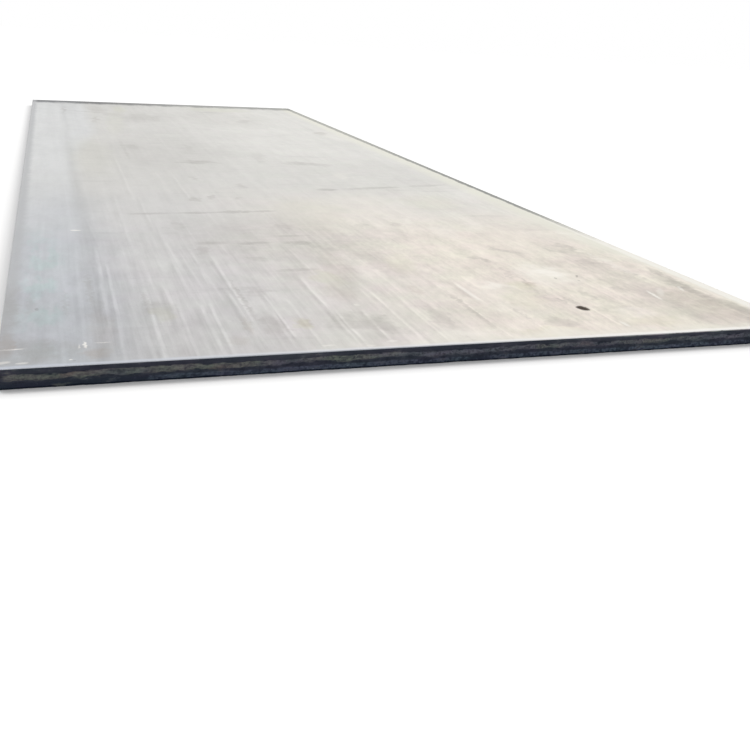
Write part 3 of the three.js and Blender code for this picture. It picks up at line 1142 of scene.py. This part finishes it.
def is_ray(tree, first_kind, *other_kinds):
    """1 for rays of those kinds and 0 for all others, in a node tree."""
    path = tree.nodes.new("ShaderNodeLightPath").outputs
    seen = Wire(path[first_kind])
    for kind in other_kinds:
        seen = calculate("MAXIMUM", seen, Wire(path[kind]))
    return seen


def floor_finish(glow):
    """White paint plus a glow for camera and shine. It starts from nothing at the plate's foot, where
    the floor is shaded most, so that a narrow ring of painted shade lies round the plate. It soon
    reaches `glow`, and grows to a full 1 by 3 m away."""
    finish = Finish("floor_paint")
    finish.shade({"Base Color": (0.9, 0.9, 0.9), "Roughness": 0.9, "Specular IOR Level": 0.0})
    across = calculate("MAXIMUM", abs(finish.x) - width / 2, 0.0)
    along = calculate("MAXIMUM", abs(finish.y) - length / 2, 0.0)
    distance = calculate("SQRT", across * across + along * along)
    seen = is_ray(finish.material.node_tree, "Is Camera Ray", "Is Glossy Ray")
    # painted shade: the glow is held back within a few centimetres of the foot
    glow_past_painted_shade = rise(distance, 0.0, 0.06) * glow
    strength = seen * (glow_past_painted_shade + rise(distance, 0.2, 3.0) * (1 - glow))
    finish.shade({"Emission Color": (1.0, 1.0, 1.0), "Emission Strength": strength})
    return finish.material


floor_mesh = bpy.data.meshes.new("floor")
floor_corners = [
    (x * floor_half, y * floor_half, -floor_gap) for x, y in ((-1, -1), (1, -1), (1, 1), (-1, 1))
]
floor_mesh.from_pydata(floor_corners, [], [(0, 1, 2, 3)])
floor_mesh.materials.append(floor_finish(glow=0.25))
floor = bpy.data.objects.new("floor", floor_mesh)
scene.collection.objects.link(floor)

# %% Sky
def pale_sky(ambient):
    """White to the camera and in reflections, and `ambient` as light on everything else."""
    world = bpy.data.worlds.new("pale_sky")
    scene.world = world
    world.use_nodes = True
    seen = is_ray(world.node_tree, "Is Camera Ray", "Is Glossy Ray", "Is Transmission Ray")
    strength = add_node("ShaderNodeMapRange", {"Value": seen, "To Min": ambient})
    background = world.node_tree.nodes["Background"]
    feed(background.inputs["Color"], (1, 1, 1))
    feed(background.inputs["Strength"], Wire(strength.outputs["Result"]))


pale_sky(ambient=0.60)

# %% Lamp
def soft_sun(name, height, heading, spread, strength, colour):
    """A sun at `height` degrees above level and `heading` degrees from the plate's length towards
    its right side, `spread` degrees wide."""
    lamp = bpy.data.objects.new(name, bpy.data.lights.new(name, "SUN"))
    lamp.data.energy = strength
    lamp.data.angle = math.radians(spread)
    lamp.data.color = colour
    lamp.rotation_euler = (math.radians(height - 90), 0, math.radians(-heading))
    scene.collection.objects.link(lamp)


soft_sun("high_sun", height=60, heading=-35, spread=20, strength=1.1, colour=(1.0, 0.99, 0.98))

scene.view_settings.view_transform = "Standard"

# %% [markdown]
# ## Camera
# The plate is seen from just outside its near left corner, at about waist height above it, looking
# along its length and a little to the right. The camera leans slightly to one side, as a camera
# held by hand does.

# %% Place the camera
camera_place = Vector((-0.8607, -4.8517, 0.7173))
camera_heading = math.radians(20.73)  # from the plate's length towards its right side
camera_dip = math.radians(20.47)  # below level
camera_lean = math.radians(3.80)  # right side raised
focal_share = 922.9 / 750  # focal length as a share of the picture's width
picture_slide = 20 / 750  # how far the picture is cut off-centre, to the left, as a share of its width


def camera_frame(place, heading, dip, lean):
    """The camera's axes: forwards from the heading and the dip, a level right-hand axis turned up
    by the lean, and the axis across both."""
    forwards = Vector((
        math.sin(heading) * math.cos(dip),
        math.cos(heading) * math.cos(dip),
        -math.sin(dip),
    ))
    level = Vector((math.cos(heading), -math.sin(heading), 0))
    right = math.cos(lean) * level + math.sin(lean) * level.cross(forwards)
    up = right.cross(forwards)
    return Matrix.Translation(place) @ Matrix((right, up, -forwards)).transposed().to_4x4()


camera = bpy.data.objects.new("camera", bpy.data.cameras.new("camera"))
camera.data.sensor_width = 36
camera.data.sensor_fit = "HORIZONTAL"
camera.data.lens = camera.data.sensor_width * focal_share
camera.data.shift_x = -picture_slide
camera.data.clip_end = 100
camera.matrix_world = camera_frame(camera_place, camera_heading, camera_dip, camera_lean)
scene.collection.objects.link(camera)
scene.camera = camera
print(f"lens {camera.data.lens:.1f} mm on a {camera.data.sensor_width:.0f} mm sensor")
